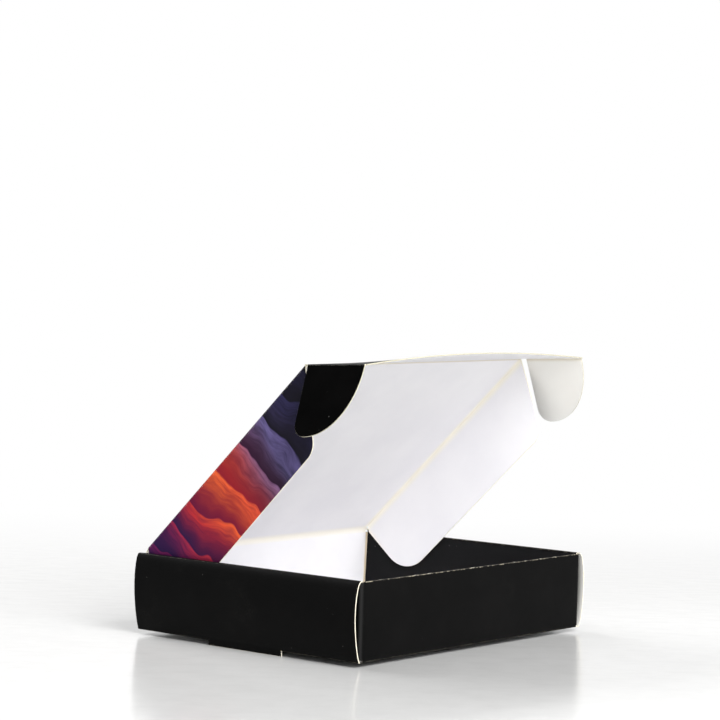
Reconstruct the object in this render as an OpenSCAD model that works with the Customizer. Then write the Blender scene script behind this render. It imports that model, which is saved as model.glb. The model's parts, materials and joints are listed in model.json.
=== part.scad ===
// Mailer box folded from one sheet of thin board, standing on two foot tabs with its lid half open.
// +Z is up, X runs along the lid's crease, the front wall looks along -Y.
// The origin is on the table, under the middle of the tray.

/* [Board] */
// Thickness of the board
board_t = 0.6; // [0.5:0.05:0.9]
// Radius of a fold, at the middle of the board
fold_r = 0.6; // [0.5:0.05:0.9]

/* [Tray] */
// Width of the tray between the bottom folds of its side walls
tray_w = 186; // [150:1:240]
// Depth of the tray from front wall to back wall
tray_d = 150; // [120:1:200]
// Height of the rolled side walls over the bottom
wall_h = 40.4; // [34:0.2:56]
// How much lower the front wall ends than the side walls
front_drop = 0.5; // [0.3:0.1:3]
// How far the back wall leans in at the hinge
back_lean = 1.5; // [0.5:0.05:2.5]
// How far the side walls stand out at their upper crease
rim_out = 3.75; // [2.5:0.05:5]
// How far the outer side panels bow out further down
side_bow = 2.85; // [1:0.05:4]
// How far under the top of the side walls their upper crease lies
rim_drop = 2.1; // [1.5:0.1:4]
// How far in from the side folds the inner side panels hang
inner_in = 1.35; // [1.1:0.05:2]
// How far the inner side panels stop short of the front and back walls
inner_short = 1.6; // [1.3:0.1:6]

/* [Feet and locks] */
// How far the foot tabs stand under the bottom
foot_h = 2.5; // [1.5:0.1:4]
// Length of a foot tab along its fold
foot_l = 49.6; // [20:0.2:80]
// How far a lock tab stays inside each end of its slot
lock_side = 1; // [0.4:0.1:4]
// How far a lock tab reaches through the bottom
lock_out = 0.5; // [0.2:0.1:1.4]

/* [Corner flaps] */
// Length of the corner flaps that are hidden in the side walls
corner_l = 52; // [30:1:58]
// How far the end of a corner flap stands out in its side wall
corner_out = 0.6; // [0:0.1:1]
// Taper of a corner flap at its end, over and under
corner_taper = 4; // [2:0.2:10]
// How far over the underside of the bottom the corner flaps start
corner_low = 4.8; // [4.6:0.1:9]

/* [Lid] */
// Angle of the lid above closed
lid_angle = 43.8; // [20:0.2:120]
// How far in from the tray's side folds the lid's side creases lie
lid_inset = 2.45; // [2.3:0.05:4]
// How far the hinge crease lies above the side walls
hinge_rise = 0.5; // [0.5:0.1:2]
// How far the side flaps stay off the bottom when the lid is shut
flap_clear = 2.2; // [1.2:0.1:5]
// Radius of the side flaps' corner beside the hinge
flap_back_r = 11; // [4:0.5:16]
// Radius of the side flaps' corner beside the front
flap_front_r = 9.5; // [4:0.5:16]
// How far the side flaps slope back at the front
flap_slope = 20.5; // [8:0.5:40]
// How far the side flaps slope away from the hinge
flap_relief = 6; // [3:0.5:16]
// Depth of the small step in the side flaps beside the hinge
flap_step = 4.5; // [2:0.5:8]

/* [Tuck flap and ears] */
// How far the tuck flap is folded from the lid's plane
tuck_fold = 40.8; // [0:0.2:100]
// How far the tuck flap ends short of the wall height
tuck_clear = 1.4; // [1:0.1:6]
// How far the tuck flap's free edge arches up in the middle
tuck_arch = 4; // [0:0.25:6]
// How far the ears lie outside the lid's side flaps
ear_out = 0.75; // [0.3:0.05:1.2]
// How far an ear is folded from the tuck flap's plane
ear_fold = 70; // [0:1:90]
// Reach of an ear from its crease
ear_l = 37.3; // [20:0.1:44]
// How far an ear's crease starts from the tuck crease
ear_start = 2; // [1.5:0.1:6]
// How far an ear's crease ends short of the free edge
ear_end = 1; // [0.5:0.1:6]
// Radius of the ear's corner beside the tuck crease
ear_r = 8.6; // [4:0.1:12]

/* [Hidden] */
$fn = 48;
fold_steps = 6;
curve_steps = 14;
hollow_steps = 4;
tuck_steps = 5;
arch_steps = 20;
bead_step = 20;
// Gap between two panels that turn on one crease
crease_gap = 0.05;
// Gap between two layers of the folded tray
layer_gap = 0.1;
// Overlap of pieces that are joined to one sheet
join = 0.4;
// Half opening of the notch at the hinge crease, so the lid can lie back flat, and its length on a panel
hinge_v = 43;
hinge_notch = board_t / 2 / tan(hinge_v);
// Flat length that a wall shares with the bottom, and a corner flap with its wall
bottom_lap = 4;
corner_lap = 3;
// Straight top of the outer side panel, and the part of the inner panel that is rolled with the rim
rim_reach = 0.8;
roll_tail = 0.3;
// How fast the tuck flap's arch grows towards its free edge
arch_curl = 1.5;
black = [0.09, 0.09, 0.095];
white = [0.93, 0.92, 0.91];
printed = [0.32, 0.12, 0.3];
half_w = tray_w / 2;
half_d = tray_d / 2;
front_h = wall_h - front_drop;
hinge_y = half_d - board_t / 2 - back_lean;
hinge_z = foot_h + wall_h + hinge_rise;
lean_angle = atan(back_lean / (wall_h + hinge_rise - board_t));
// Middle of the corner flaps' fold, inward from the side fold, and where the walls end beside it
corner_in = inner_in - board_t - layer_gap;
wall_end = half_w - corner_in - 2 * fold_r;
// Lid sizes, from the hinge crease forward
lid_hw = half_w - lid_inset;
lid_crease = lid_hw - board_t;
lid_l = hinge_y + half_d;
flap_d = wall_h - flap_clear;
flap_start = 1;
flap_neck = 2;
flap_end = 0.5;
tuck_l = wall_h - tuck_clear;
tuck_hw = lid_hw + ear_out;
ear_tip = ear_start + ear_r;
// Radius of the hollow in a panel's end that turns round the bead of its neighbour
hollow = board_t + crease_gap;

function unit(v) = v / norm(v);

// Points along an arc about c
function arc(c, r, from, to, steps = fold_steps) =
    [for (i = [0 : steps]) let (a = from + (to - from) * i / steps) c + r * [cos(a), sin(a)]];

// Points along a curve that leaves a towards b and reaches c from b
function bend(a, b, c, steps = curve_steps) =
    [for (i = [0 : steps]) let (s = i / steps) (1 - s) * (1 - s) * a + 2 * s * (1 - s) * b + s * s * c];

// A corner of a path, rounded to radius r
function fold(before, corner, after, r) =
    let (
        u = unit(before - corner),
        v = unit(after - corner),
        half = acos(u * v) / 2,
        c = corner + unit(u + v) * r / sin(half),
        p = corner + u * r / tan(half),
        q = corner + v * r / tan(half),
        from = atan2(p[1] - c[1], p[0] - c[0]),
        turn = atan2(q[1] - c[1], q[0] - c[0]) - from,
        sweep = turn > 180 ? turn - 360 : turn < -180 ? turn + 360 : turn
    )
    arc(c, r, from, from + sweep);

// Direction across a path at point i
function across(path, i) =
    let (d = unit(path[min(i + 1, len(path) - 1)] - path[max(i - 1, 0)])) [-d[1], d[0]];

// Outline of a strip of board whose middle follows a path
function strip(path) = concat(
    [for (i = [0 : len(path) - 1]) path[i] + across(path, i) * board_t / 2],
    [for (i = [len(path) - 1 : -1 : 0]) path[i] - across(path, i) * board_t / 2]
);

// A board strip that is drawn in X and Z and runs along Y
module along_y(outline, y0, y1) {
    translate([0, y1, 0])
        rotate([90, 0, 0])
            linear_extrude(y1 - y0)
                polygon(outline);
}

// A board strip that is drawn in Y and Z and runs along X
module along_x(outline, x0, x1) {
    translate([x0, 0, 0])
        rotate([90, 0, 90])
            linear_extrude(x1 - x0)
                polygon(outline);
}

module both_sides() {
    children();
    mirror([1, 0, 0])
        children();
}

// Rolled side wall: measured out from the side fold and up from the underside of the bottom
outer_foot = [-board_t / 2, fold_r + board_t / 2];
outer_top = [rim_out, wall_h - rim_drop];
outer_pull = [(outer_foot[0] + outer_top[0]) / 2 + 2 * side_bow, wall_h / 2];
outer_panel = bend(outer_foot, outer_pull, outer_top);
rim_corner = outer_top + unit(outer_top - outer_pull) * rim_reach;
roll_corner = [-inner_in, wall_h - board_t / 2];
inner_foot = [-inner_in, board_t + layer_gap];
rim_fold = fold(outer_top, rim_corner, roll_corner, fold_r);
roll_fold = fold(rim_corner, roll_corner, inner_foot, fold_r);
bottom_end = [-bottom_lap, board_t / 2];
bottom_turn = fold(bottom_end, [-board_t / 2, board_t / 2], outer_foot + [0, 1], fold_r);
bottom_fold = [for (i = [0 : fold_steps - 1]) bottom_turn[i]];
roll_end = roll_fold[fold_steps] - [0, roll_tail];

module side_strip(points, y0, y1) {
    translate([half_w, 0, foot_h])
        along_y(strip(points), y0, y1);
}

// Outer panel with its bottom fold, rim and, away from the ends, the inner panel
module side_wall() {
    shell = concat(outer_panel, rim_fold, roll_fold, [roll_end]);
    inner_end = half_d - inner_short;
    foot = foot_l / 2;
    for (side = [-1, 1]) {
        y_in = side < 0 ? -half_d : foot;
        side_strip(concat([bottom_end], bottom_fold, shell), y_in, y_in + half_d - foot);
    }
    side_strip(concat([[-board_t / 2, -foot_h]], shell), -foot, foot);
    side_strip([roll_fold[fold_steps], inner_foot], -inner_end, inner_end);
    side_strip([inner_foot + [0, join], [-inner_in, -lock_out]], lock_side - foot, foot - lock_side);
}

// Bottom, with the two slots that the foot tabs are cut from
module bottom() {
    edge = board_t / 2 + fold_r;
    difference() {
        translate([edge - half_w, edge - half_d, foot_h])
            cube([tray_w - 2 * edge, tray_d - 2 * edge, board_t]);
        both_sides()
            translate([half_w - board_t - foot_h, -foot_l / 2, foot_h - join])
                cube([foot_h + board_t, foot_l, board_t + 2 * join]);
    }
}

// Corner flap of the front wall: its fold, and the part that is hidden in the side wall
module corner_flap() {
    turn = [half_w - corner_in, board_t / 2];
    turn_in = turn - [corner_lap, 0];
    flap_tip = [half_w + corner_out, corner_l];
    plan = concat([turn_in], fold(turn_in, turn, flap_tip, fold_r), [flap_tip]);
    near_y = board_t * 2;
    far_y = corner_l + board_t;
    top = wall_h - rim_drop;
    side_view = [
        [-board_t, corner_low], [near_y, corner_low], [far_y, corner_low + corner_taper],
        [far_y, top - corner_taper], [near_y, top], [-board_t, top]
    ];
    intersection() {
        linear_extrude(wall_h)
            polygon(strip(plan));
        along_x(side_view, turn_in[0] - join, half_w + rim_out);
    }
}

module front_wall() {
    foot = [-half_d + board_t / 2, board_t / 2];
    start = foot + [bottom_lap, 0];
    top = [foot[0], front_h];
    translate([0, 0, foot_h])
        along_x(strip(concat([start], fold(start, foot, top, fold_r), [top])), -wall_end, wall_end);
    both_sides()
        translate([0, -half_d, foot_h])
            corner_flap();
}

// Back wall with the round bead that the lid turns on
module back_wall() {
    foot = [half_d - board_t / 2, board_t / 2];
    start = foot - [bottom_lap, 0];
    axis = [hinge_y, hinge_z - foot_h];
    down = unit(foot - axis);
    side = [-down[1], down[0]] * board_t / 2;
    shoulder = axis + down * hinge_notch;
    neck = shoulder + down * board_t;
    wall = strip(concat([start], fold(start, foot, neck, fold_r), [neck]));
    tip = [neck + side, shoulder + side, axis, shoulder - side, neck - side, neck + down * join];
    translate([0, 0, foot_h]) {
        along_x(wall, -wall_end, wall_end);
        along_x(tip, -lid_crease, lid_crease);
    }
    translate([-lid_crease, hinge_y, hinge_z])
        rotate([0, 90, 0])
            cylinder(h = 2 * lid_crease, d = board_t);
    both_sides()
        translate([0, half_d, foot_h])
            rotate([lean_angle, 0, 0])
                mirror([0, 1, 0])
                    corner_flap();
}

module tray() {
    color(black) {
        bottom();
        both_sides()
            side_wall();
        front_wall();
        back_wall();
    }
}

// Lid frame: the hinge crease is the origin, the shut lid runs along -Y with its outside up
module on_lid() {
    translate([0, hinge_y, hinge_z])
        rotate([-lid_angle, 0, 0])
            children();
}

// Tuck frame: its crease is the origin, at the inside face of the board
module on_tuck() {
    on_lid()
        translate([0, -lid_l, -board_t / 2])
            rotate([tuck_fold, 0, 0])
                children();
}

module lid() {
    section = concat(
        [[-lid_crease, -board_t / 2], [lid_crease, -board_t / 2]],
        arc([lid_crease, -board_t / 2], board_t, 0, 90),
        arc([-lid_crease, -board_t / 2], board_t, 90, 180)
    );
    front_bead = concat([[join - lid_l, -board_t / 2]], arc([-lid_l, -board_t / 2], board_t, 180, 90),
        [[join - lid_l, board_t / 2]]);
    cut_x = lid_hw + join;
    color(white)
        on_lid()
            difference() {
                union() {
                    along_y(section, -lid_l, 0);
                    along_x(front_bead, -lid_crease, lid_crease);
                }
                // Notches over and under the hinge crease, and the hollow round its bead
                for (z = [-board_t, board_t])
                    along_x([[0, 0], [join, z], [-2 * hinge_notch, z]], -cut_x, cut_x);
                translate([-cut_x, 0, 0])
                    rotate([0, 90, 0])
                        cylinder(h = 2 * cut_x, d = board_t + 2 * crease_gap);
            }
}

// Side flap, drawn flat with its crease on X = 0 and folded square to the lid
module side_flap() {
    neck = [flap_neck, -flap_step];
    back_edge = [flap_relief, -flap_d];
    front_edge = [lid_l - flap_slope, -flap_d];
    outline = concat(
        [[flap_start, -crease_gap], neck],
        fold(neck, back_edge, front_edge, flap_back_r),
        fold(back_edge, front_edge, [lid_l, 0], flap_front_r),
        [[lid_l - flap_end, -crease_gap]]
    );
    on_lid()
        translate([lid_crease, 0, -board_t / 2])
            rotate([90, 0, 90])
                linear_extrude(board_t)
                    polygon([for (p = outline) [-p[0], p[1]]]);
}

module side_flap_right() {
    color(white)
        side_flap();
}

module side_flap_left() {
    color(printed)
        mirror([1, 0, 0])
            side_flap();
}

// How far the tuck flap arches up, x from its middle and s from its crease
function arch(x, s) =
    tuck_arch * max(0, 1 - pow(x / tuck_hw, 2)) * pow((s - hollow) / (tuck_l - hollow), arch_curl);

// Section of the tuck flap at x, from the hollow at its crease to its free edge, with its thickness scaled by k
function tuck_section(x, k) = concat(
    [for (p = arc([0, 0], hollow, 0, asin(k * board_t / hollow), hollow_steps)) [x, -p[0], p[1]]],
    [for (j = [1 : tuck_steps]) let (s = hollow + (tuck_l - hollow) * j / tuck_steps)
        [x, -s, k * board_t + arch(x, s)]],
    [for (j = [tuck_steps : -1 : 1]) let (s = hollow + (tuck_l - hollow) * j / tuck_steps) [x, -s, arch(x, s)]]
);

// A closed body through such sections
module loft(sections) {
    n = len(sections[0]);
    last = (len(sections) - 1) * n;
    sides = [for (i = [0 : n : last - 1]) for (j = [0 : n - 1])
        let (a = i + j, b = i + (j + 1) % n) each [[a, a + n, b + n], [a, b + n, b]]];
    // An end is closed by a fan beside the hollow, then from the upper to the lower side
    fan = hollow_steps + 1;
    cap = concat(
        [for (j = [0 : fan - 1]) [j, j + 1, n - 1]],
        [for (j = [0 : tuck_steps - 2]) let (a = fan + j, b = n - 1 - j) each [[a, a + 1, b], [a + 1, b - 1, b]]]
    );
    polyhedron(
        [for (section = sections) each section],
        concat(sides, cap, [for (f = cap) [last + f[2], last + f[1], last + f[0]]])
    );
}

// The arched sheet, with a rounded edge towards each ear
module tuck_flap() {
    bead = [for (a = [90 - bead_step : -bead_step : bead_step]) a];
    middle = [for (i = [0 : arch_steps]) [tuck_hw * (2 * i / arch_steps - 1), 1]];
    right = [for (i = [len(bead) - 1 : -1 : 0]) [tuck_hw + board_t * sin(bead[i]), cos(bead[i])]];
    left = [for (a = bead) [-tuck_hw - board_t * sin(a), cos(a)]];
    color(black)
        on_tuck()
            loft([for (c = concat(left, middle, right)) tuck_section(c[0], c[1])]);
}

// Ear, drawn flat in the tuck frame and folded down at its crease
module ear() {
    crease_end = tuck_l - ear_end;
    span = crease_end - ear_tip;
    outline = concat(
        [[crease_gap, ear_start]],
        arc([ear_l - ear_r, ear_tip], ear_r, -90, 0),
        [for (i = [1 : curve_steps]) let (a = 90 * i / curve_steps) [ear_l * cos(a), ear_tip + span * sin(a)]]
    );
    on_tuck()
        translate([tuck_hw, 0, 0])
            rotate([0, ear_fold, 0])
                difference() {
                    linear_extrude(board_t)
                        polygon([for (p = outline) [p[0], -p[1]]]);
                    rotate([90, 0, 0])
                        cylinder(h = tuck_l, r = hollow);
                }
}

module ear_right() {
    color(white)
        ear();
}

module ear_left() {
    color(black)
        mirror([1, 0, 0])
            ear();
}

tray();
lid();
side_flap_right();
side_flap_left();
tuck_flap();
ear_right();
ear_left();
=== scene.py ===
"""Looks of an open mailer box: folded sheets of thin printed board on a glossy pale table.

Lengths are in millimetres and become metres where a mesh is made. +Z is up, X runs along the lid's
crease, the front wall looks along -Y and the origin is on the table under the middle of the tray.
"""
import json
import math
import bpy
from mathutils import Matrix, Vector
from mathutils.geometry import delaunay_2d_cdt


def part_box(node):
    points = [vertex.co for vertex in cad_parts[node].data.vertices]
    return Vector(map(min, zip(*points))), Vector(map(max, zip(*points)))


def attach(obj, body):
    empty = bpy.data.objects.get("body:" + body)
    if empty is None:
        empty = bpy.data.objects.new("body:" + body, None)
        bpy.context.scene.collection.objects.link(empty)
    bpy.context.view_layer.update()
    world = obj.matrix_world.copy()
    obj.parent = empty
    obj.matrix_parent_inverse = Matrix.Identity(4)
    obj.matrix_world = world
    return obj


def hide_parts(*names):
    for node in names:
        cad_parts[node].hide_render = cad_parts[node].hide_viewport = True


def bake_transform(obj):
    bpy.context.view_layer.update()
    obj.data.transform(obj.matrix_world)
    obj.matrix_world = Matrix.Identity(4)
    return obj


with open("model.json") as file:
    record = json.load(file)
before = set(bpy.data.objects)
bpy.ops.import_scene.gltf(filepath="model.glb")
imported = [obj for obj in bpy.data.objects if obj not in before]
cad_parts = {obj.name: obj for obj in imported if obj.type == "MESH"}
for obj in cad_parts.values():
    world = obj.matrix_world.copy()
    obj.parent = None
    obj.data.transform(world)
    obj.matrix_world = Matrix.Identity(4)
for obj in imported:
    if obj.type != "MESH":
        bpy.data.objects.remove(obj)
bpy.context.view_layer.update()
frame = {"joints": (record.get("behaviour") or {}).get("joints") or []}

MM = 0.001
X = Vector((1, 0, 0))
Y = Vector((0, 1, 0))
Z = Vector((0, 0, 1))

# Board
BOARD = 0.6
HALF = BOARD / 2
CHAMFER = 0.05
SHARP = math.radians(35)
FOLD_R = 0.6
CREASE_GAP = 0.05
LAYER_GAP = 0.1
# Bent strips in the creases: thickness, and how far their ends lap over the panels
STRIP_T = 0.62
STRIP_LAP = 0.15

# Sizes of a mesh's cells
FLOOR_CELL = 6.0
CELL = 3.0
WALL_CELL = 2.5
SMALL_CELL = 2.2
TUCK_CELL = 2.0

# Points along curves
FOLD_STEPS = 6
PANEL_STEPS = 20
RIM_STEPS = 4
INNER_STEPS = 16
CORNER_STEPS = 10
CORNER_FLAP_STEPS = 14
HINGE_STEPS = 10
FLAP_STEPS = 12
TUCK_STRIP_STEPS = 4
EAR_STRIP_STEPS = 5
EAR_TIP_STEPS = 14
EAR_SIDE_STEPS = 22
# Places in the section of a side wall: middle of the rim's fold, start and middle of the inner fold
RIM_MIDDLE = PANEL_STEPS + 1 + FOLD_STEPS // 2
ROLL_START = PANEL_STEPS + FOLD_STEPS + RIM_STEPS
ROLL_MIDDLE = ROLL_START + 1 + FOLD_STEPS // 2

# Tray
TRAY_W = 186.0
HALF_W = TRAY_W / 2
HALF_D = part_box("tray")[1].y / MM - 0.005
FOOT_H = 2.5
FOOT_L = 49.6
FOOT_RAISE = 0.03
# How far the end, middle and start of a foot tab lie inward of the outer panel
FOOT_IN = (0.3, 0.2, 0.1)
WALL_H = 40.4
FRONT_H = 39.9
RIM_DROP = 2.1
# Outer side panels, outward and up: foot, two pull points, upper crease and rim, front and back
LEFT_FRONT = ((0.3, 0.9), (1.8, 3.0), (6.8, 24.2), (1.8, 38.2), (0.3, 40.1))
LEFT_BACK = ((-0.1, 0.9), (2.7, 9.0), (4.9, 27.5), (1.8, 38.2), (0.9, 39.8))
RIGHT_FRONT = ((0.6, 0.9), (2.9, 3.0), (6.1, 26.2), (1.6, 38.2), (-0.1, 40.1))
RIGHT_BACK = ((0.2, 0.9), (2.8, 8.0), (5.4, 27.0), (2.0, 38.2), (0.9, 39.8))
# The front section is reached before the front corner, by this factor
FRONT_REACH = 1.3
INNER_IN = 1.35
INNER_IN_LOW = 1.9
INNER_SHORT = 0.8
INNER_SHORT_BACK = 2.1
LOCK_SIDE = 1.0
LOCK_OUT = 0.5
CORNER_L = 52.0
CORNER_OUT = 0.6
CORNER_TAPER = 4.0
CORNER_LOW = 4.8
CORNER_IN = INNER_IN - BOARD - LAYER_GAP
CORNER_R = 1.7
BOTTOM_LAP = 4.0


def joint(name):
    return next(j for j in frame["joints"] if j["name"] == name)


def joint_at(name):
    return Vector(joint(name)["pos_m"]) / MM


def joint_axis(name):
    return Vector(joint(name)["axis"])


# Lid, tuck flap and ears, placed by the joints of the frame
HINGE = joint_at("lid_hinge")
HINGE_STRIP = 2.4
LID_ON = -joint_axis("side_flap_right_fold")
LID_OUT = Vector((0, LID_ON.z, -LID_ON.y))
LID_CREASE = joint_at("side_flap_right_fold").x
TUCK = joint_at("tuck_flap_fold")
LID_L = (TUCK - HINGE).dot(LID_ON)
TUCK_ON = -joint_axis("ear_right_fold")
TUCK_OUT = Vector((0, TUCK_ON.z, -TUCK_ON.y))
TUCK_HW = joint_at("ear_right_fold").x
TUCK_FOLD = LID_ON.angle(TUCK_ON)
TUCK_L = 39.8
TUCK_ARCH = 3.96
ARCH_CURL = 1.5
# Side flaps: depth at the back and at the front, and how far the front edge slopes back
RIGHT_FLAP = (38.9, 39.7, 17.2)
LEFT_FLAP = (37.0, 34.9, 24.5)
FLAP_START = 2.4
FLAP_NECK = (0.5, 2.9)
FLAP_RELIEF = 4.65
FLAP_END = 0.5
FLAP_BACK_R = 17.5
FLAP_FRONT_R = 10.5
EAR_FOLD = math.radians(-joint("ear_right_fold")["range_deg"][0])
EAR_L = 37.0
EAR_START = 2.4
EAR_END = 1.0
EAR_R = 7.0

# Camera, in metres
CAMERA_AT = (-1.07903, -0.88350, 0.20781)
CAMERA_AIM = (0.0, 0.0053, 0.1322)
CAMERA_ROLL = math.radians(1.45)
CAMERA_LENS = 131.98
CAMERA_SENSOR = 36
CAMERA_SHIFT = (-0.0007, 0.0333)

# Lamps, in metres and watts: place, aim, width and height, power
LAMPS = {
    "softbox_high": ((-0.4, -1.2, 1.0), (0, 0, 0.05), (1.0, 0.8), 28.2),
    "softbox_front": ((-0.5, -1.7, 0.35), (0, 0.05, 0.05), (1.4, 0.6), 8.2),
    "softbox_camera": ((-1.5, -0.9, 0.35), (0, 0, 0.05), (0.8, 0.6), 6.3),
    "softbox_back": ((0, 1.2, 1.2), (0, 0, 0.05), (1.2, 0.8), 17),
}
WORLD_LIGHT = 0.02
# Table, in metres: half its width, and where it starts and ends to run out into the backdrop
TABLE_HALF = 3.0
TABLE_FADE = (0.15, 0.60)


# Paths and outlines

def arc(centre, radius, start, stop, steps=FOLD_STEPS):
    """Points on an arc, with angles in degrees."""
    return [
        Vector((
            centre[0] + radius * math.cos(math.radians(start + (stop - start) * i / steps)),
            centre[1] + radius * math.sin(math.radians(start + (stop - start) * i / steps)),
        ))
        for i in range(steps + 1)
    ]


def bend(a, b, c, steps):
    """Points on a curve that leaves a towards b and reaches c from b."""
    return [
        (1 - s) ** 2 * a + 2 * s * (1 - s) * b + s * s * c
        for s in (i / steps for i in range(steps + 1))
    ]


def cubic(a, b, c, d, steps):
    """Points on a curve that leaves a towards b and reaches d from c."""
    return [
        (1 - s) ** 3 * a + 3 * s * (1 - s) ** 2 * b + 3 * s * s * (1 - s) * c + s ** 3 * d
        for s in (i / steps for i in range(steps + 1))
    ]


def onward(start, stop, steps):
    """Points on a line, after its start and up to its stop."""
    return [start.lerp(stop, k / steps) for k in range(1, steps + 1)]


def fold(before, corner, after, radius, steps=FOLD_STEPS):
    """A corner of a path, rounded."""
    u, v = (before - corner).normalized(), (after - corner).normalized()
    half = math.acos(u.dot(v)) / 2
    centre = corner + (u + v).normalized() * radius / math.sin(half)
    p, q = corner + u * radius / math.tan(half), corner + v * radius / math.tan(half)
    start = math.degrees(math.atan2(*(p - centre).yx))
    turn = math.degrees(math.atan2(*(q - centre).yx)) - start
    turn = turn - 360 if turn > 180 else turn + 360 if turn < -180 else turn
    return arc(centre, radius, start, start + turn, steps)


def lengths(path):
    """Length of a path up to each of its points."""
    total = [0.0]
    for a, b in zip(path, path[1:]):
        total.append(total[-1] + (b - a).length)
    return total


def spread(start, stop, step, also=()):
    """Numbers from start to stop, about step apart, with some exact ones among them."""
    marks = sorted({start, stop, *[a for a in also if start < a < stop]})
    out = [marks[0]]
    for a, b in zip(marks, marks[1:]):
        n = max(1, round((b - a) / step))
        out += [a + (b - a) * i / n for i in range(1, n + 1)]
    return out


def inside(p, loop):
    """Whether a point lies inside a closed outline."""
    hit = False
    for a, b in zip(loop, loop[1:] + loop[:1]):
        if (a[1] > p[1]) != (b[1] > p[1]):
            if p[0] < a[0] + (p[1] - a[1]) / (b[1] - a[1]) * (b[0] - a[0]):
                hit = not hit
    return hit


# Sheets of board

class Sheet:
    """The middle of a piece of board, which becomes a solid with a cut edge all round."""

    def __init__(self):
        self.points, self.flat, self.faces = [], [], []
        self.known = {}

    def vertex(self, point, flat):
        key = tuple(round(c, 3) for c in (*point, *flat))
        if key not in self.known:
            self.known[key] = len(self.points)
            self.points.append(Vector(point))
            self.flat.append(flat)
        return self.known[key]

    def grid(self, rows, cols, place, keep=lambda row, col: True, flat=None):
        """Cells between rows and columns, except where keep says no at a cell's middle."""
        for r0, r1 in zip(rows, rows[1:]):
            for c0, c1 in zip(cols, cols[1:]):
                if keep((r0 + r1) / 2, (c0 + c1) / 2):
                    corners = [(r0, c0), (r1, c0), (r1, c1), (r0, c1)]
                    self.faces.append([
                        self.vertex(place(*p), flat(*p) if flat else p) for p in corners
                    ])

    def outline(self, loop, step, place):
        """A free outline, filled with points about step apart."""
        edge = []
        for a, b in zip(loop, loop[1:] + loop[:1]):
            n = max(1, round((b - a).length / step))
            edge += [a.lerp(b, i / n) for i in range(n)]
        low = [min(p[k] for p in edge) for k in (0, 1)]
        high = [max(p[k] for p in edge) for k in (0, 1)]
        fill = [
            Vector((x, y))
            for x in spread(low[0], high[0], step)
            for y in spread(low[1], high[1], step)
            if inside((x, y), loop)
        ]
        near = (step / 2) ** 2
        fill = [p for p in fill if min((p - e).length_squared for e in edge) > near]
        ring = [(i, (i + 1) % len(edge)) for i in range(len(edge))]
        found, _, faces, *_ = delaunay_2d_cdt(edge + fill, ring, [], 1, 1e-6)
        for face in faces:
            self.faces.append([self.vertex(place(*found[i]), tuple(found[i])) for i in face])

    def facing(self, outward):
        """The faces turned to look outward, and a normal for each point."""
        crosses = [
            (self.points[f[2]] - self.points[f[0]]).cross(self.points[f[-1]] - self.points[f[1]])
            for f in self.faces
        ]
        turned = crosses[0].dot(outward) < 0
        faces = [f[::-1] for f in self.faces] if turned else self.faces
        normals = [Vector() for _ in self.points]
        for f, cross in zip(self.faces, crosses):
            for i in f:
                normals[i] += cross
        return faces, [-n.normalized() if turned else n.normalized() for n in normals]

    def around(self, faces, normals):
        """The sides of the free edge, and the way out from the sheet at each point of it."""
        sides = {(a, b): None for f in faces for a, b in zip(f, f[1:] + f[:1])}
        rim = [side for side in sides if side[::-1] not in sides]
        out = [Vector() for _ in self.points]
        for a, b in rim:
            o = (self.points[b] - self.points[a]).cross(normals[a] + normals[b]).normalized()
            out[a] += o
            out[b] += o
        return rim, [o.normalized() if o.length > 0 else o for o in out]

    def solid(self, name, body, materials, outward, thickness=BOARD, blend=None, nodes=()):
        """The object: the side that looks outward, the other side and the chamfered cut edge."""
        faces, normals = self.facing(outward)
        rim, out = self.around(faces, normals)
        half, n = thickness / 2, len(self.points)
        layers = [(half, -CHAMFER), (half - CHAMFER, 0), (CHAMFER - half, 0), (-half, -CHAMFER)]
        verts = [
            p + m * h + o * c for h, c in layers for p, m, o in zip(self.points, normals, out)
        ]
        polys = [list(f) for f in faces] + [[i + 3 * n for i in f[::-1]] for f in faces]
        index = [0] * len(faces) + [1] * len(faces)
        for k in range(len(layers) - 1):
            polys += [[a + k * n, a + (k + 1) * n, b + (k + 1) * n, b + k * n] for a, b in rim]
            index += [2] * len(rim)
        used = sorted({i for f in polys for i in f})
        new = {old: i for i, old in enumerate(used)}
        mesh = bpy.data.meshes.new(name)
        mesh.from_pydata([verts[i] * MM for i in used], [], [[new[i] for i in f] for f in polys])
        uv = mesh.uv_layers.new(name="flat")
        for loop in mesh.loops:
            flat = self.flat[used[loop.vertex_index] % n]
            uv.data[loop.index].uv = (flat[0] * MM, flat[1] * MM)
        mesh.polygons.foreach_set("material_index", index)
        mesh.polygons.foreach_set("use_smooth", [True] * len(polys))
        for material in materials:
            mesh.materials.append(material)
        mesh.set_sharp_from_angle(angle=SHARP)
        mesh.validate()
        piece = bpy.data.objects.new(name, mesh)
        bpy.context.scene.collection.objects.link(piece)
        if blend:
            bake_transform(piece)
        else:
            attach(piece, body)
        if nodes:
            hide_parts(*nodes)
        return piece


# Materials

def rgb(r, g, b):
    """A colour from its 0-255 values on a screen."""
    linear = [((c / 255 + 0.055) / 1.055) ** 2.4 if c > 10 else c / 255 / 12.92 for c in (r, g, b)]
    return (*linear, 1.0)


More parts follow.
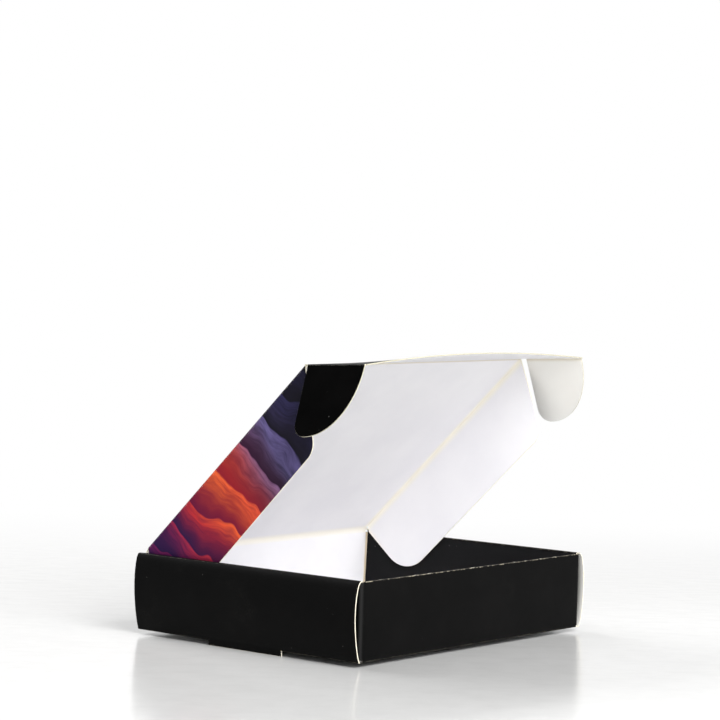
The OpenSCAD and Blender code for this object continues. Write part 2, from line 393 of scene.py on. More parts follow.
BLACK = rgb(4, 4, 4)
BLACK_WORN = rgb(26, 25, 25)
BLACK_SMUDGE = rgb(34, 33, 31)
# Lighter black for the side walls' inner panels: painted light
BLACK_INNER_PAINTED_LIGHT = rgb(24, 24, 25)
# Lighter black along the end walls' rounded corner folds: painted highlight
BLACK_FOLD_PAINTED_HIGHLIGHT = rgb(34, 34, 34)
DUST = rgb(150, 148, 145)
WHITE = rgb(240, 239, 241)
WHITE_DEEP = rgb(235, 234, 237)
WARM = rgb(241, 240, 235)
WARM_DEEP = rgb(236, 234, 228)
FIBRE = rgb(216, 212, 206)
GAP_SHADE = rgb(92, 93, 87)
CREAM = rgb(250, 245, 228)
CREAM_DEEP = rgb(236, 226, 198)
# Darker creams for the cut edges of the tuck flap and ears: painted shade
CREAM_TUCK_PAINTED_SHADE = rgb(203, 200, 180)
CREAM_TUCK_DEEP_PAINTED_SHADE = rgb(186, 178, 152)
EDGE_DIRT = rgb(150, 136, 112)
EDGE_BLACK = rgb(52, 50, 49)
EDGE_GREY = rgb(96, 92, 88)
CREASE = rgb(243, 239, 228)
# Tan line in the inside corners of the end walls: painted shade
CORNER_PAINTED_SHADE = rgb(206, 188, 152)
CREASE_TUCK = rgb(214, 205, 184)
TABLE = rgb(244, 244, 243)
TABLE_DEEP = rgb(240, 240, 239)
TABLE_STREAK = rgb(229, 229, 228)
LIT = (1, 1, 1, 1)

# Scales of noise, in features to the metre
CLOUDS = 24
SMUDGES = 27
MOTTLES = 38
TABLE_CLOUDS = 60
SHEEN = 120
DIRT = 160
FLECKS = 170
CRACKS = 620
SPECKS = 760
FIBRES = 900
FINE_GRAIN = 1400
EDGE_FIBRES = 2600
PORES = 3800
GRAIN = 5200
INK_WARPS = 16

# Depths of bumps, in metres
COAT_DEPTH = 0.00006
FIBRE_DEPTH = 0.00007
EDGE_DEPTH = 0.0001
TABLE_DEPTH = 0.0002

# Roughness, and specular level of each surface
BOARD_ROUGH = 0.82
EDGE_ROUGH = 0.9
COAT_ROUGH = (0.43, 0.49)
PRINT_ROUGH = (0.40, 0.52)
TABLE_ROUGH = (0.15, 0.22)
BLACK_GLOSS = 0.045
EAR_GLOSS = 0.006
PRINT_GLOSS = 0.08
EDGE_GLOSS = 0.3
BOARD_GLOSS = 0.35
TABLE_GLOSS = 0.52

# Inks between the ribbons and on their crests, from the hinge on
DEEP_INKS = (
    (0.00, rgb(38, 20, 66)), (0.20, rgb(50, 20, 64)), (0.34, rgb(112, 24, 54)),
    (0.48, rgb(150, 34, 44)), (0.58, rgb(56, 26, 52)), (0.70, rgb(20, 17, 30)),
    (1.00, rgb(13, 12, 20)),
)
LIGHT_INKS = (
    (0.00, rgb(98, 30, 90)), (0.14, rgb(134, 34, 80)), (0.29, rgb(216, 58, 54)),
    (0.41, rgb(252, 112, 56)), (0.52, rgb(238, 90, 62)), (0.60, rgb(150, 98, 130)),
    (0.70, rgb(122, 110, 166)), (0.81, rgb(56, 52, 92)), (1.00, rgb(26, 25, 42)),
)
INK_SPAN = 0.15
INK_WANDER = 0.03
# Ribbons to the metre, how far they tilt and wander, and the brush strokes along and across them
RIBBONS = 50.0
RIBBON_TILT = 0.3
RIBBON_WANDER = 0.05
RIBBON_STROKES = (420.0, 60.0)
# Streaks of the table's polish, across and along the view
TABLE_STROKES = (45.0, 130.0)


class Shader:
    """A material and short ways to add nodes to it."""

    def __init__(self, name):
        self.material = bpy.data.materials.new(name)
        self.material.use_nodes = True
        self.tree = self.material.node_tree
        self.surface = self.tree.nodes["Principled BSDF"]
        self.uv = self.add("ShaderNodeUVMap", uv_map="flat").outputs["UV"]
        self.local = self.add("ShaderNodeTexCoord").outputs["Object"]

    def add(self, kind, inputs=(), **settings):
        node = self.tree.nodes.new(kind)
        for key, value in settings.items():
            setattr(node, key, value)
        for key, value in dict(inputs).items():
            self.put(value, node.inputs[key])
        return node

    def put(self, value, socket):
        if isinstance(value, bpy.types.NodeSocket):
            self.tree.links.new(value, socket)
        else:
            socket.default_value = value

    def math(self, operation, a, b=0.0, clamp=False):
        node = self.add("ShaderNodeMath", {0: a, 1: b}, operation=operation, use_clamp=clamp)
        return node.outputs[0]

    def times(self, a, b, clamp=False):
        return self.math("MULTIPLY", a, b, clamp)

    def plus(self, a, b):
        return self.math("ADD", a, b)

    def noise(self, scale, detail=2.0, rough=0.5, at=None, stretch=None):
        at = at or self.local
        if stretch:
            at = self.add("ShaderNodeMapping", {"Vector": at, "Scale": stretch}).outputs[0]
        inputs = {"Vector": at, "Scale": scale, "Detail": detail, "Roughness": rough}
        return self.add("ShaderNodeTexNoise", inputs).outputs["Fac"]

    def strokes(self, along, across, scales, rough):
        """Noise drawn out into strokes, from two places and a scale for each."""
        inputs = {0: self.times(along, scales[0]), 1: self.times(across, scales[1])}
        brush = self.add("ShaderNodeCombineXYZ", inputs)
        return self.noise(1.0, 4, rough, at=brush.outputs[0])

    def ramp(self, value, low, high, to_low=0.0, to_high=1.0):
        """value, taken from low..high to other limits with soft ends."""
        inputs = {
            "Value": value, "From Min": low, "From Max": high, "To Min": to_low, "To Max": to_high,
        }
        node = self.add("ShaderNodeMapRange", inputs, interpolation_type="SMOOTHSTEP")
        return node.outputs["Result"]

    def mix(self, share, a, b):
        node = self.add("ShaderNodeMix", data_type="RGBA")
        for value, socket in ((share, 0), (a, 6), (b, 7)):
            self.put(value, node.inputs[socket])
        return node.outputs[2]

    def colours(self, value, stops):
        """A colour from a row of places and colours."""
        node = self.add("ShaderNodeValToRGB", {0: value})
        while len(node.color_ramp.elements) < len(stops):
            node.color_ramp.elements.new(0.5)
        for element, (at, colour) in zip(node.color_ramp.elements, stops):
            element.position, element.color = at, colour
        return node.outputs[0]

    def across(self, axis):
        """Place on the flat sheet."""
        return self.add("ShaderNodeSeparateXYZ", {0: self.uv}).outputs[axis]

    def aside(self, axis):
        """Distance on the flat sheet from its middle."""
        return self.math("ABSOLUTE", self.across(axis))

    def line(self, value, at, width):
        """1 on a line across the sheet, falling to 0 within width."""
        off = self.math("ABSOLUTE", self.math("SUBTRACT", value, at * MM))
        return self.ramp(off, 0.0, width * MM, 1.0, 0.0)

    def bump(self, height, strength, distance):
        inputs = {"Height": height, "Strength": strength, "Distance": distance}
        return self.add("ShaderNodeBump", inputs).outputs["Normal"]

    def done(self, colour, roughness, normal, specular):
        self.put(colour, self.surface.inputs["Base Color"])
        self.put(roughness, self.surface.inputs["Roughness"])
        self.put(normal, self.surface.inputs["Normal"])
        self.put(specular, self.surface.inputs["Specular IOR Level"])
        return self.material


def black_board(name, folds=lambda shader: (), painted_light=lambda shader: None, gloss=BLACK_GLOSS):
    """Black coated side: mottled, dusty, and worn to the fibres along its folds.

    folds gives rows of value, place, width and strength; the last argument gives a share and the
    colour that it takes there: painted light or a painted highlight.
    """
    shader = Shader(name)
    fine = shader.noise(FINE_GRAIN)
    mottle = shader.ramp(shader.noise(MOTTLES, 3, 0.6), 0.35, 0.75, 0.0, 0.12)
    colour = shader.mix(mottle, BLACK, BLACK_WORN)
    painted = painted_light(shader)
    if painted:
        colour = shader.mix(painted[0], colour, painted[1])
    patches = shader.ramp(shader.noise(SMUDGES, 4, 0.7), 0.57, 0.74)
    smudge = shader.times(patches, shader.ramp(fine, 0.4, 0.8))
    colour = shader.mix(shader.times(smudge, 0.6), colour, BLACK_SMUDGE)
    specks = shader.ramp(shader.noise(SPECKS, 1, 0.4), 0.81, 0.87)
    colour = shader.mix(shader.times(specks, 0.55), colour, DUST)
    for value, at, width, worn in folds(shader):
        broken = shader.ramp(shader.noise(CRACKS, 3, 0.7), 0.45, 0.7)
        crack = shader.times(shader.line(value, at, width), broken)
        colour = shader.mix(shader.times(crack, worn), colour, CREAM_DEEP)
    rough = shader.ramp(shader.noise(SHEEN, 3, 0.6), 0.3, 0.7, *COAT_ROUGH)
    height = shader.plus(fine, shader.times(shader.noise(GRAIN, 2, 0.6), 0.4))
    return shader.done(colour, rough, shader.bump(height, 0.16, COAT_DEPTH), gloss)


def white_board(name, creases_and_shade=lambda shader: (), light=WHITE, deep=WHITE_DEEP):
    """Uncoated inner side: fibres, faint clouds and creases.

    The second argument gives rows of value, place, width, strength and colour, for creases and for
    lines of painted shade.
    """
    shader = Shader(name)
    fibres = shader.noise(FIBRES, 4, 0.7, stretch=(1, 2.5, 2.5))
    colour = shader.mix(shader.ramp(shader.noise(CLOUDS, 3, 0.6), 0.3, 0.7), light, deep)
    colour = shader.mix(shader.ramp(fibres, 0.55, 0.85, 0.0, 0.3), colour, FIBRE)
    for value, at, width, share, tone in creases_and_shade(shader):
        colour = shader.mix(shader.times(shader.line(value, at, width), share), colour, tone)
    height = shader.plus(fibres, shader.times(shader.noise(PORES, 2, 0.6), 0.5))
    return shader.done(colour, BOARD_ROUGH, shader.bump(height, 0.25, FIBRE_DEPTH), BOARD_GLOSS)


def cut_edge(name, light, deep):
    """Cut edge: layers of cream fibre, dirty in places."""
    shader = Shader(name)
    fibres = shader.noise(EDGE_FIBRES, 3, 0.7)
    dirt = shader.ramp(shader.noise(DIRT, 3, 0.7), 0.6, 0.8, 0.0, 0.35)
    colour = shader.mix(shader.ramp(fibres, 0.35, 0.75), light, deep)
    colour = shader.mix(dirt, colour, EDGE_DIRT)
    return shader.done(colour, EDGE_ROUGH, shader.bump(fibres, 0.5, EDGE_DEPTH), EDGE_GLOSS)


def blackened_edge(name):
    """Cut edge that the black print has smeared over, with a few bare flecks."""
    shader = Shader(name)
    fibres = shader.noise(EDGE_FIBRES, 3, 0.7)
    flecks = shader.ramp(shader.noise(FLECKS, 2, 0.6, at=shader.uv), 0.60, 0.68)
    colour = shader.mix(shader.ramp(fibres, 0.35, 0.75), EDGE_GREY, EDGE_BLACK)
    colour = shader.mix(flecks, colour, CREAM)
    return shader.done(colour, EDGE_ROUGH, shader.bump(fibres, 0.5, EDGE_DEPTH), EDGE_GLOSS)


def printed_board(name):
    """Outside of the lid and its flaps: overlapping ribbons, purple and orange, then dark blue."""
    shader = Shader(name)
    x, y = shader.across(0), shader.across(1)
    warp = shader.math("SUBTRACT", shader.noise(INK_WARPS, 3, 0.55, at=shader.uv), 0.5)
    tilted = shader.plus(y, shader.times(x, RIBBON_TILT))
    place = shader.plus(tilted, shader.times(warp, RIBBON_WANDER))
    crest = shader.math("FRACT", shader.times(place, RIBBONS))
    strokes = shader.strokes(place, x, RIBBON_STROKES, 0.6)
    light = shader.times(shader.math("POWER", crest, 1.5), shader.ramp(crest, 0.95, 1.0, 1.0, 0.0))
    light = shader.times(light, shader.ramp(strokes, 0.25, 0.7, 0.35, 1.1), clamp=True)
    ink = shader.math("DIVIDE", shader.plus(y, shader.times(warp, INK_WANDER)), INK_SPAN)
    colour = shader.mix(light, shader.colours(ink, DEEP_INKS), shader.colours(ink, LIGHT_INKS))
    rough = shader.ramp(shader.noise(SHEEN, 3, 0.6), 0.3, 0.7, *PRINT_ROUGH)
    normal = shader.bump(shader.noise(FINE_GRAIN), 0.12, COAT_DEPTH)
    return shader.done(colour, rough, normal, PRINT_GLOSS)


edge = cut_edge("cut_edge", CREAM, CREAM_DEEP)
# Painted shade: the tuck flap's and ears' cut edges take darker creams
tuck_edge_painted_shade = cut_edge("cut_edge_tuck_painted_shade", CREAM_TUCK_PAINTED_SHADE, CREAM_TUCK_DEEP_PAINTED_SHADE)
worn_edge = blackened_edge("blackened_edge")
white = white_board("white_board")
black = black_board("black_board")
black_ear = black_board("black_ear", gloss=EAR_GLOSS)
printed = printed_board("printed_board")
white_lid = white_board("white_creased", lambda s: [
    (s.aside(0), LID_CREASE, 4.0, 1.0, CREASE),
    (s.across(1), 0.0, 4.0, 1.0, CREASE),
    (s.across(1), LID_L, 1.6, 0.9, CREASE_TUCK),
])
white_shaded = white_board(
    "white_shaded", lambda s: [(s.aside(1), HALF_D - 5.0, 5.2, 1.0, GAP_SHADE)], WARM, WARM_DEEP,
)
white_ear = white_board(
    "white_ear", lambda s: [(s.across(0), 0.0, 2.2, 0.8, CREASE_TUCK)], WARM, WARM_DEEP,
)
# Painted shade: a tan line down the inside corner where the end wall meets the side wall
white_corner = white_board(
    "white_corner", lambda s: [(s.aside(0), HALF_W - 1.8, 1.7, 0.9, CORNER_PAINTED_SHADE)],
)


# Tray

def side_path(shape, lapped):
    """Section of a rolled side wall: outward from the side fold and up from the bottom's underside."""
    foot, first, second, top, rim = shape
    roll = Vector((-INNER_IN, WALL_H - HALF))
    end = Vector((-INNER_IN_LOW, BOARD + LAYER_GAP))
    if lapped:
        start = Vector((-BOTTOM_LAP, HALF))
        turn = fold(start, Vector((foot.x, HALF)), foot + Vector((0, 1)), FOLD_R)
        bottom = [start, *turn[:-1]]
    else:
        heights = (FOOT_RAISE - FOOT_H, -FOOT_H / 2, HALF)
        bottom = [Vector((foot.x - back, height)) for back, height in zip(FOOT_IN, heights)]
    rolled = fold(top, rim, roll, HALF)
    down = fold(rim, roll, end, FOLD_R)
    strip = onward(rolled[-1], down[0], RIM_STEPS)[:-1]
    inner = onward(down[-1], end, INNER_STEPS)
    return bottom, cubic(foot, first, second, top, PANEL_STEPS) + rolled + strip + down + inner


def side_wall(side):
    """One sheet: bottom lap, outer panel, rim, inner panel, with the foot tab and the lock tab."""
    name = "right" if side > 0 else "left"
    front, back = (RIGHT_FRONT, RIGHT_BACK) if side > 0 else (LEFT_FRONT, LEFT_BACK)
    wall = Sheet()
    foot = FOOT_L / 2
    lock = foot - LOCK_SIDE
    lap_end = HALF_D - FOLD_R - HALF
    ys = spread(-HALF_D, HALF_D, WALL_CELL, (-lap_end, lap_end, -foot, foot, -lock, lock))

    def shape(y):
        share = min(1, (HALF_D - y) / (2 * HALF_D) * FRONT_REACH)
        return [Vector(b).lerp(Vector(f), share) for b, f in zip(back, front)]

    def at(p, y):
        return Vector((side * (HALF_W + p.x), y, FOOT_H + p.y))

    paths = {y: side_path(shape(y), True)[1] for y in ys}
    along = lengths(paths[ys[0]])

    def place(i, y):
        """The inner panel stops just short of the end walls, shorter at the top of its back end."""
        share = max(0, i - ROLL_START) / (len(along) - 1 - ROLL_START)
        short = INNER_SHORT + (INNER_SHORT_BACK - INNER_SHORT) * (1 - share) * (y > 0)
        return at(paths[y][int(i)], y * (1 - (short if i > ROLL_START else 0) / HALF_D))

    for rows, cols in (
        (range(ROLL_START + 1), ys),
        (range(ROLL_START, len(along)), ys[1:-1]),
    ):
        wall.grid(rows, cols, place, flat=lambda i, y: (along[int(i)], y))
    for lapped in (True, False):
        lows = {y: side_path(shape(y), lapped)[0] + [paths[y][0]] for y in ys}
        under = lengths(lows[ys[0]])
        wall.grid(
            range(len(under)), ys, lambda i, y: at(lows[y][int(i)], y),
            lambda i, y: (abs(y) > foot) == lapped and (i > 1 or not lapped or abs(y) < lap_end),
            flat=lambda i, y: (under[int(i)] - under[-1], y),
        )
    tab = [paths[ys[0]][-1], Vector((-INNER_IN_LOW, -LOCK_OUT))]
    wall.grid(
        (0, 1), ys, lambda i, y: at(tab[int(i)], y * (1 - INNER_SHORT / HALF_D)),
        lambda i, y: abs(y) < lock,
        flat=lambda i, y: (along[-1] + i * (BOARD + LAYER_GAP + LOCK_OUT), y),
    )
    rim_at, roll_at = along[RIM_MIDDLE], along[ROLL_MIDDLE]
    outside = black_board(
        "black_side_" + name,
        lambda s: [
            (s.across(0), rim_at, 0.4, 0.08),
            (s.across(0), roll_at, 0.4, 0.12),
            (s.across(0), -FOLD_R, 0.5, s.ramp(s.aside(1), foot * MM, (foot + 0.5) * MM, 0.0, 0.15)),
        ],
        # Painted light: from the roll on, the inner panel's black is lighter
        lambda s: (s.ramp(s.across(0), roll_at * MM, (roll_at + 1) * MM), BLACK_INNER_PAINTED_LIGHT),
    )
    wall.solid(
        "side_wall_" + name, "tray", (outside, white_shaded, edge), X * side,
        nodes=("tray",),
    )


def end_wall(name, hand, top_z, lean):
    """Front or back wall in one sheet with its bottom lap and its two corner flaps."""
    wall = Sheet()
    turn = Vector((HALF_W - CORNER_IN, HALF))
    flap_tip = Vector((HALF_W + CORNER_OUT, CORNER_L))
    round_turn = fold(Vector((0, HALF)), turn, flap_tip, CORNER_R, CORNER_STEPS)
    right = round_turn + onward(round_turn[-1], flap_tip, CORNER_FLAP_STEPS)
    left = [Vector((-p.x, p.y)) for p in right[::-1]]
    flat_x = spread(-round_turn[0].x, round_turn[0].x, CELL)[1:-1]
    plan = left + [Vector((x, HALF)) for x in flat_x] + right
    along = lengths(plan)
    middle = along[-1] / 2
    first, last = len(left) - 1, len(left) + len(flat_x)
    fold_at = along[last + CORNER_STEPS // 2] - middle
    low, flap_top = FOLD_R + BOARD, WALL_H - RIM_DROP
    lap, up = Vector((BOTTOM_LAP, HALF)), Vector((HALF, low))
    foot = [lap, *fold(lap, Vector((HALF, HALF)), up, FOLD_R), up]
    under = lengths(foot)

    def upright(y, z):
        return Vector((0, hand * (HALF_D - y - lean * max(0, z - HALF)), FOOT_H + z))

    def place(i, z):
        """Behind the fold the sheet narrows to the corner flap, which narrows on to its end."""
        p = plan[int(i)]
        turned = min(1, max(0, (p.y - CORNER_R) / BOARD))
        far = min(1, max(0, (p.y - CORNER_R) / (CORNER_L - CORNER_R)))
        under_z = low + (CORNER_LOW - low) * turned + CORNER_TAPER * far
        over_z = top_z + (flap_top - top_z) * turned - CORNER_TAPER * far
        return X * p.x + upright(p.y, under_z + (z - low) / (top_z - low) * (over_z - under_z))

    wall.grid(
        range(len(plan)), spread(low, top_z, SMALL_CELL), place,
        flat=lambda i, z: (along[int(i)] - middle, z),
    )
    wall.grid(
        range(first, last + 1), range(len(foot)),
        lambda i, r: X * plan[int(i)].x + upright(foot[int(r)].x, foot[int(r)].y),
        flat=lambda i, r: (along[int(i)] - middle, low + under[int(r)] - under[-1]),
    )
    outside = black_board(
        "black_" + name,
        lambda s: [(s.across(1), top_z, 0.5, 0.9), (s.across(1), low - FOLD_R, 0.45, 0.08)],
        # Painted highlight: a lighter band of black along each rounded corner fold
        lambda s: (s.line(s.aside(0), fold_at, 1.6), BLACK_FOLD_PAINTED_HIGHLIGHT),
    )
    wall.solid(
        name, "tray", (outside, white_corner, worn_edge), Vector((0, hand, 0)),
        nodes=("tray",),
    )


def bottom():
    """Bottom between the walls' laps, open where the lock tabs pass."""
    floor = Sheet()
    edge_in = HALF + FOLD_R
    slot = HALF_W - BOARD - FOOT_H
    foot = FOOT_L / 2
    floor.grid(
        spread(edge_in - HALF_W, HALF_W - edge_in, FLOOR_CELL, (-slot, slot)),
        spread(edge_in - HALF_D, HALF_D - edge_in, FLOOR_CELL, (-foot, foot)),
        lambda x, y: Vector((x, y, FOOT_H + HALF)),
        lambda x, y: abs(x) < slot or abs(y) > foot,
    )
    floor.solid("bottom", "tray", (black, white, edge), -Z, nodes=("tray",))


BACK_TOP = HINGE.z - FOOT_H - HINGE_STRIP
BACK_LEAN = (HALF_D - HALF - HINGE.y) / (HINGE.z - FOOT_H - HALF)
bottom()
side_wall(1)
side_wall(-1)
end_wall("front_wall", -1, FRONT_H, 0.0)
end_wall("back_wall", 1, BACK_TOP, BACK_LEAN)


# Lid, flaps and ears

def on_lid(x, s, z=0.0):
    """A point of the lid: across, from the hinge on, and outward from its middle."""
    return HINGE + X * x + LID_ON * s + LID_OUT * z


def on_tuck(x, s, z=0.0):
    """A point of the tuck flap: across, from its crease on, and outward from its inside face."""
    return Vector((0, TUCK.y, TUCK.z)) + X * x + TUCK_ON * s + TUCK_OUT * z


def lid():
    sheet = Sheet()
    sheet.grid(spread(-LID_CREASE, LID_CREASE, CELL), spread(HINGE_STRIP, LID_L, CELL), on_lid)
    sheet.solid(
        "lid_panel", "lid", (printed, white_lid, edge), LID_OUT, nodes=("lid",),
    )


def side_flap(side):
    """A side flap, flat on its crease; its flat place goes on from the lid's."""
    name = "side_flap_right" if side > 0 else "side_flap_left"
    back_depth, front_depth, slope = RIGHT_FLAP if side > 0 else LEFT_FLAP
    neck = Vector(FLAP_NECK)
    back = Vector((FLAP_RELIEF, back_depth))
    front = Vector((LID_L - slope, front_depth))
    loop = [
        Vector((FLAP_START, 0)), neck,
        *fold(neck, back, front, FLAP_BACK_R, FLAP_STEPS),
        *fold(back, front, Vector((LID_L, 0)), FLAP_FRONT_R, FLAP_STEPS),
        Vector((LID_L - FLAP_END, 0)),
    ]
    sheet = Sheet()
    sheet.outline(
        [Vector((p.y + LID_CREASE + CREASE_GAP, p.x)) for p in loop], CELL,
        lambda depth, s: on_lid(side * (LID_CREASE + HALF), s, LID_CREASE - HALF - depth),
    )
    sheet.flat = [(side * u, v) for u, v in sheet.flat]
    sheet.solid(
        name + "_panel", name, (printed, white_lid, edge), X * side, nodes=(name,),
    )


def arch(x, s):
    """How far the tuck flap rises from its plane, most in the middle of its free edge."""
    share = max(0, (s - BOARD) / (TUCK_L - BOARD))
    return TUCK_ARCH * max(0, 1 - (x / TUCK_HW) ** 2) * share ** ARCH_CURL


def tuck_flap():
    sheet = Sheet()
    sheet.grid(
        spread(-TUCK_HW, TUCK_HW, CELL), spread(CREASE_GAP, TUCK_L, TUCK_CELL),
        lambda x, s: on_tuck(x, s, arch(x, s) + HALF), flat=lambda x, s: (x, LID_L + s),
    )
    sheet.solid(
        "tuck_flap_panel", "tuck_flap", (black, white_lid, tuck_edge_painted_shade), TUCK_OUT,
        nodes=("tuck_flap",),
    )


def ear(side):
    """An ear: round towards the free edge, with a small radius at its other corner."""
    name = "ear_right" if side > 0 else "ear_left"
    tip = EAR_START + EAR_R
    span = TUCK_L - EAR_END - tip
    rounds = [math.pi / 2 * i / EAR_SIDE_STEPS for i in range(1, EAR_SIDE_STEPS)]
    loop = [
        Vector((CREASE_GAP, EAR_START)),
        *arc((EAR_L - EAR_R, tip), EAR_R, -90, 0, EAR_TIP_STEPS),
        *[Vector((EAR_L * math.cos(a), tip + span * math.sin(a))) for a in rounds],
        Vector((CREASE_GAP, TUCK_L - EAR_END)),
    ]
    c, s = math.cos(EAR_FOLD), math.sin(EAR_FOLD)
    sheet = Sheet()
    sheet.outline(loop, SMALL_CELL, lambda reach, along: on_tuck(
        side * (TUCK_HW + reach * c + HALF * s), along, HALF * c - reach * s,
    ))
    sheet.solid(
        name + "_panel", name, (black_ear, white_ear, tuck_edge_painted_shade), X * side, nodes=(name,),
    )


def fold_strip(name, bodies, ends, path, across, outside, outward):
    """The bent board of a crease, as a narrow sheet between two panels.

    path gives points and flat places in the plane across the crease; across, where it runs along it.
    """
    sheet = Sheet()
    points, flats = path
    sheet.grid(
        range(len(points)), across,
        lambda i, a: points[int(i)](a), flat=lambda i, a: flats[int(i)](a),
    )
    blend = (bodies[1], ends[0], ends[1])
    sheet.solid(name, bodies[0], (outside, white_lid, edge), outward, STRIP_T, blend)


def lapped(turn):
    """Angles of a bent strip, each with a distance straight on: its ends lap over the panels."""
    return [(turn[0], -STRIP_LAP), *[(a, 0.0) for a in turn], (turn[-1], STRIP_LAP)]


def hinge_strip():
    """Board between the top of the back wall and the lid."""
    low = Vector((0, HALF_D - HALF - BACK_LEAN * (BACK_TOP - HALF), FOOT_H + BACK_TOP))
    curve = bend(low, HINGE, on_lid(0, HINGE_STRIP), HINGE_STEPS)
    start = curve[0] + (curve[0] - curve[1]).normalized() * STRIP_LAP
    curve = [start, *curve, curve[-1] + LID_ON * STRIP_LAP]
    along = lengths(curve)
    points = [lambda x, p=p: p + X * x for p in curve]
    flats = [lambda x, a=a: (x, a - along[-1] / 2) for a in along]
    fold_strip(
        "fold_hinge", ("tray", "lid"), (curve[0], curve[-1]), (points, flats),
        spread(-LID_CREASE, LID_CREASE, CELL), printed, Y,
    )


def flap_strip(side):
    """Quarter turn between the lid and a side flap."""
    name = "right" if side > 0 else "left"
    turn = [math.radians(90 - 90 * k / FOLD_STEPS) for k in range(FOLD_STEPS + 1)]

    def point(s, a, on=0.0):
        x = LID_CREASE + HALF * math.cos(a) + on * math.sin(a)
        return on_lid(side * x, s, HALF * math.sin(a) - HALF - on * math.cos(a))

    path = lapped(turn)
    points = [lambda s, a=a, on=on: point(s, a, on) for a, on in path]
    flats = [
        lambda s, a=a, on=on: (side * (LID_CREASE + (math.pi / 2 - a) * HALF + on), s)
        for a, on in path
    ]
    fold_strip(
        "fold_flap_" + name, ("lid", "side_flap_" + name),
        (point(LID_L / 2, turn[0]), point(LID_L / 2, turn[-1])), (points, flats),
        spread(FLAP_START, LID_L - FLAP_END, CELL), printed, LID_OUT,
    )


def tuck_strip():
    """Board between the lid and the tuck flap."""
    path = lapped([TUCK_FOLD * k / TUCK_STRIP_STEPS for k in range(TUCK_STRIP_STEPS + 1)])
    curve = [
        TUCK + (LID_OUT * math.cos(a) + LID_ON * math.sin(a)) * HALF
        + (LID_ON * math.cos(a) - LID_OUT * math.sin(a)) * on
        for a, on in path
    ]
    points = [lambda x, p=p: p + X * x for p in curve]
    flats = [lambda x, a=a, on=on: (x, LID_L + a * HALF + on) for a, on in path]
    fold_strip(
        "fold_tuck", ("lid", "tuck_flap"), (curve[1], curve[-2]), (points, flats),
        spread(-LID_CREASE, LID_CREASE, CELL), black, LID_OUT,
    )


def ear_strip(side):
    """Board between the tuck flap and an ear."""
    name = "right" if side > 0 else "left"
    turn = [EAR_FOLD * k / EAR_STRIP_STEPS for k in range(EAR_STRIP_STEPS + 1)]

    def point(s, a, on=0.0):
        x = TUCK_HW + HALF * math.sin(a) + on * math.cos(a)
        return on_tuck(side * x, s, HALF * math.cos(a) - on * math.sin(a))

    path = lapped(turn)
    points = [lambda s, a=a, on=on: point(s, a, on) for a, on in path]
    flats = [lambda s, a=a, on=on: (side * (TUCK_HW + a * HALF + on), LID_L + s) for a, on in path]
    fold_strip(
        "fold_ear_" + name, ("tuck_flap", "ear_" + name),
        (point(TUCK_L / 2, turn[0]), point(TUCK_L / 2, turn[-1])), (points, flats),
        spread(EAR_START, TUCK_L - EAR_END, CELL), black, TUCK_OUT,
    )


hinge_strip()
flap_strip(1)
flap_strip(-1)
tuck_strip()
ear_strip(1)
ear_strip(-1)
lid()
side_flap(1)
side_flap(-1)
tuck_flap()
ear(1)
ear(-1)


# Camera, light and table

def look(at, aim, roll=0.0):
    """The matrix of a camera or lamp that looks from one place to another."""
    way = (Vector(aim) - Vector(at)).to_track_quat("-Z", "Y")
    turn = way.to_matrix() @ Matrix.Rotation(roll, 3, "Z")
    return Matrix.Translation(Vector(at)) @ turn.to_4x4()


def photo_camera():
    camera = bpy.data.objects.new("camera", bpy.data.cameras.new("camera"))
    camera.matrix_world = look(CAMERA_AT, CAMERA_AIM, CAMERA_ROLL)
    camera.data.lens = CAMERA_LENS
    camera.data.sensor_width = CAMERA_SENSOR
    camera.data.sensor_fit = "HORIZONTAL"
    camera.data.shift_x, camera.data.shift_y = CAMERA_SHIFT
    bpy.context.scene.collection.objects.link(camera)
    bpy.context.scene.camera = camera


def softbox(name, at, aim, size, power):
    lamp = bpy.data.lights.new(name, "AREA")
    lamp.shape = "RECTANGLE"
    lamp.size, lamp.size_y = size
    lamp.energy = power
    thing = bpy.data.objects.new(name, lamp)
    thing.matrix_world = look(at, aim)
    bpy.context.scene.collection.objects.link(thing)


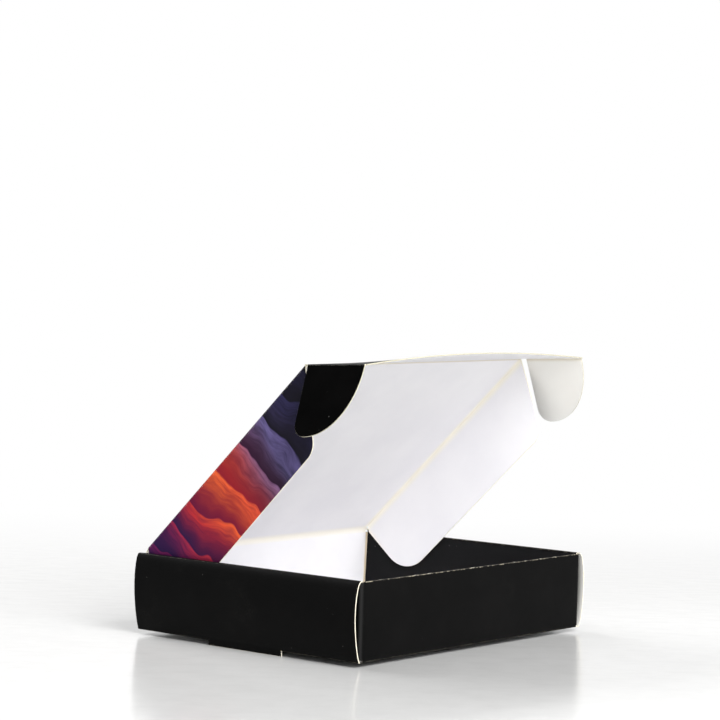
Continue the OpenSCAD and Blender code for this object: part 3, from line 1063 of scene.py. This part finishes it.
def studio():
    """A backdrop that is white to the camera and in reflections, and lights the scene faintly."""
    world = bpy.data.worlds.new("studio")
    bpy.context.scene.world = world
    world.use_nodes = True
    nodes, links = world.node_tree.nodes, world.node_tree.links
    nodes.clear()
    seen, lit = (nodes.new("ShaderNodeBackground") for _ in range(2))
    for shade, strength in ((seen, 1.0), (lit, WORLD_LIGHT)):
        shade.inputs["Color"].default_value = LIT
        shade.inputs["Strength"].default_value = strength
    ray = nodes.new("ShaderNodeLightPath")
    either = nodes.new("ShaderNodeMath")
    either.operation = "MAXIMUM"
    choose = nodes.new("ShaderNodeMixShader")
    links.new(ray.outputs["Is Camera Ray"], either.inputs[0])
    links.new(ray.outputs["Is Glossy Ray"], either.inputs[1])
    links.new(either.outputs[0], choose.inputs[0])
    links.new(lit.outputs[0], choose.inputs[1])
    links.new(seen.outputs[0], choose.inputs[2])
    links.new(choose.outputs[0], nodes.new("ShaderNodeOutputWorld").inputs[0])


def table_top():
    """Glossy pale table whose far edge runs out into the white backdrop."""
    shader = Shader("table_gloss")
    away = Vector(CAMERA_AIM) - Vector(CAMERA_AT)
    away.z = 0
    away.normalize()
    far, aside = (
        shader.add(
            "ShaderNodeVectorMath", {0: shader.local, 1: way}, operation="DOT_PRODUCT",
        ).outputs["Value"]
        for way in (tuple(away), (away.y, -away.x, 0))
    )
    clouds = shader.noise(TABLE_CLOUDS, 3, 0.6)
    streaks = shader.strokes(aside, far, TABLE_STROKES, 0.65)
    colour = shader.mix(shader.ramp(clouds, 0.3, 0.7), TABLE, TABLE_DEEP)
    colour = shader.mix(shader.ramp(streaks, 0.45, 0.75, 0.0, 0.5), colour, TABLE_STREAK)
    rough = shader.ramp(streaks, 0.35, 0.7, *TABLE_ROUGH)
    shader.done(colour, rough, shader.bump(clouds, 0.05, TABLE_DEPTH), TABLE_GLOSS)
    glow = shader.add("ShaderNodeEmission", {"Color": LIT, "Strength": 1.0})
    fade = shader.add("ShaderNodeMixShader", {
        0: shader.ramp(far, *TABLE_FADE), 1: shader.surface.outputs[0], 2: glow.outputs[0],
    })
    shader.put(fade.outputs[0], shader.tree.nodes["Material Output"].inputs[0])
    mesh = bpy.data.meshes.new("table_top")
    corners = [(-1, -1), (1, -1), (1, 1), (-1, 1)]
    mesh.from_pydata([(x * TABLE_HALF, y * TABLE_HALF, 0) for x, y in corners], [], [(0, 1, 2, 3)])
    mesh.uv_layers.new(name="flat")
    mesh.materials.append(shader.material)
    top = bpy.data.objects.new("table_top", mesh)
    bpy.context.scene.collection.objects.link(top)


photo_camera()
for name, settings in LAMPS.items():
    softbox(name, *settings)
studio()
table_top()
bpy.context.scene.view_settings.view_transform = "Standard"
